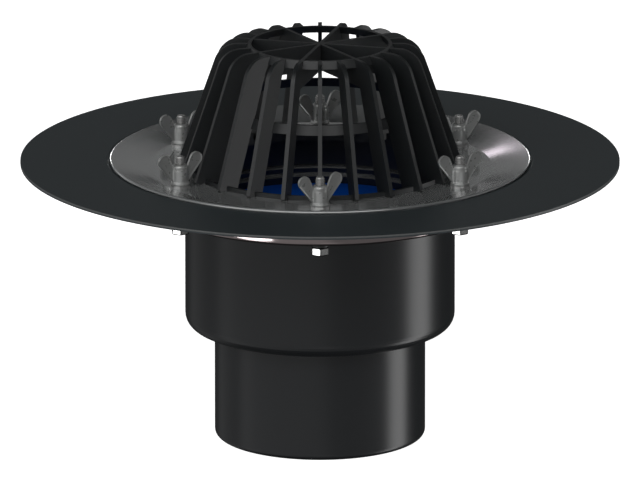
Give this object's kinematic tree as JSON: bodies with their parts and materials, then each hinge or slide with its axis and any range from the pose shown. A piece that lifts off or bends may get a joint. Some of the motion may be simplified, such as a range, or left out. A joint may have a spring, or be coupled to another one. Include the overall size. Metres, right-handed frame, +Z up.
{
  "type": "roof drain",
  "caption": "Flat roof drain with an outlet spigot, a flange clamped to a round membrane collar by a bolted steel ring, and a ribbed leaf guard.",
  "frame": {"origin": "centre of the outlet spigot's end face, the lowest point of the drain", "axes": "+Z up along the drain's axis, from the spigot's end to the leaf guard; +X to the right and +Y away, seen from the front, where one bolt lies on -Y"},
  "size_m": [0.355, 0.355, 0.2392],
  "materials": {
    "black_body": "moulded polypropylene, satin gloss",
    "black_guard": "moulded, fine matt grain",
    "collar_sheet": "smooth calendered sheet, dark grey",
    "ring_steel": "pressed stainless sheet, polished at the edges",
    "bolt_steel": "stainless, dull",
    "blue_rubber": "blue elastomer, matt"
  },
  "bodies": {
    "drain": {"drain_body": "black_body", "lower_ring": "ring_steel", "membrane_collar": "collar_sheet", "clamp_ring": "ring_steel", "leaf_guard": "black_guard", "seal_seat_ring": "ring_steel", "inlet_seal": "blue_rubber", "hex_bolts": "bolt_steel", "bolt_washers": "bolt_steel", "nut_washers": "bolt_steel"},
    "wing_nut_1": {"wing_nut_1": "bolt_steel"},
    "wing_nut_2": {"wing_nut_2": "bolt_steel"},
    "wing_nut_3": {"wing_nut_3": "bolt_steel"},
    "wing_nut_4": {"wing_nut_4": "bolt_steel"},
    "wing_nut_5": {"wing_nut_5": "bolt_steel"},
    "wing_nut_6": {"wing_nut_6": "bolt_steel"}
  },
  "joints": [
    {"name": "wing_nut_1_turn", "type": "hinge", "parent": "drain", "child": "wing_nut_1", "pos_m": [0, -0.0952, 0.1658], "axis": [0, 0, 1], "continuous": true},
    {"name": "wing_nut_2_turn", "type": "hinge", "parent": "drain", "child": "wing_nut_2", "pos_m": [0.08245, -0.0476, 0.1658], "axis": [0, 0, 1], "continuous": true},
    {"name": "wing_nut_3_turn", "type": "hinge", "parent": "drain", "child": "wing_nut_3", "pos_m": [0.08245, 0.0476, 0.1658], "axis": [0, 0, 1], "continuous": true},
    {"name": "wing_nut_4_turn", "type": "hinge", "parent": "drain", "child": "wing_nut_4", "pos_m": [0, 0.0952, 0.1658], "axis": [0, 0, 1], "continuous": true},
    {"name": "wing_nut_5_turn", "type": "hinge", "parent": "drain", "child": "wing_nut_5", "pos_m": [-0.08245, 0.0476, 0.1658], "axis": [0, 0, 1], "continuous": true},
    {"name": "wing_nut_6_turn", "type": "hinge", "parent": "drain", "child": "wing_nut_6", "pos_m": [-0.08245, -0.0476, 0.1658], "axis": [0, 0, 1], "continuous": true}
  ]
}
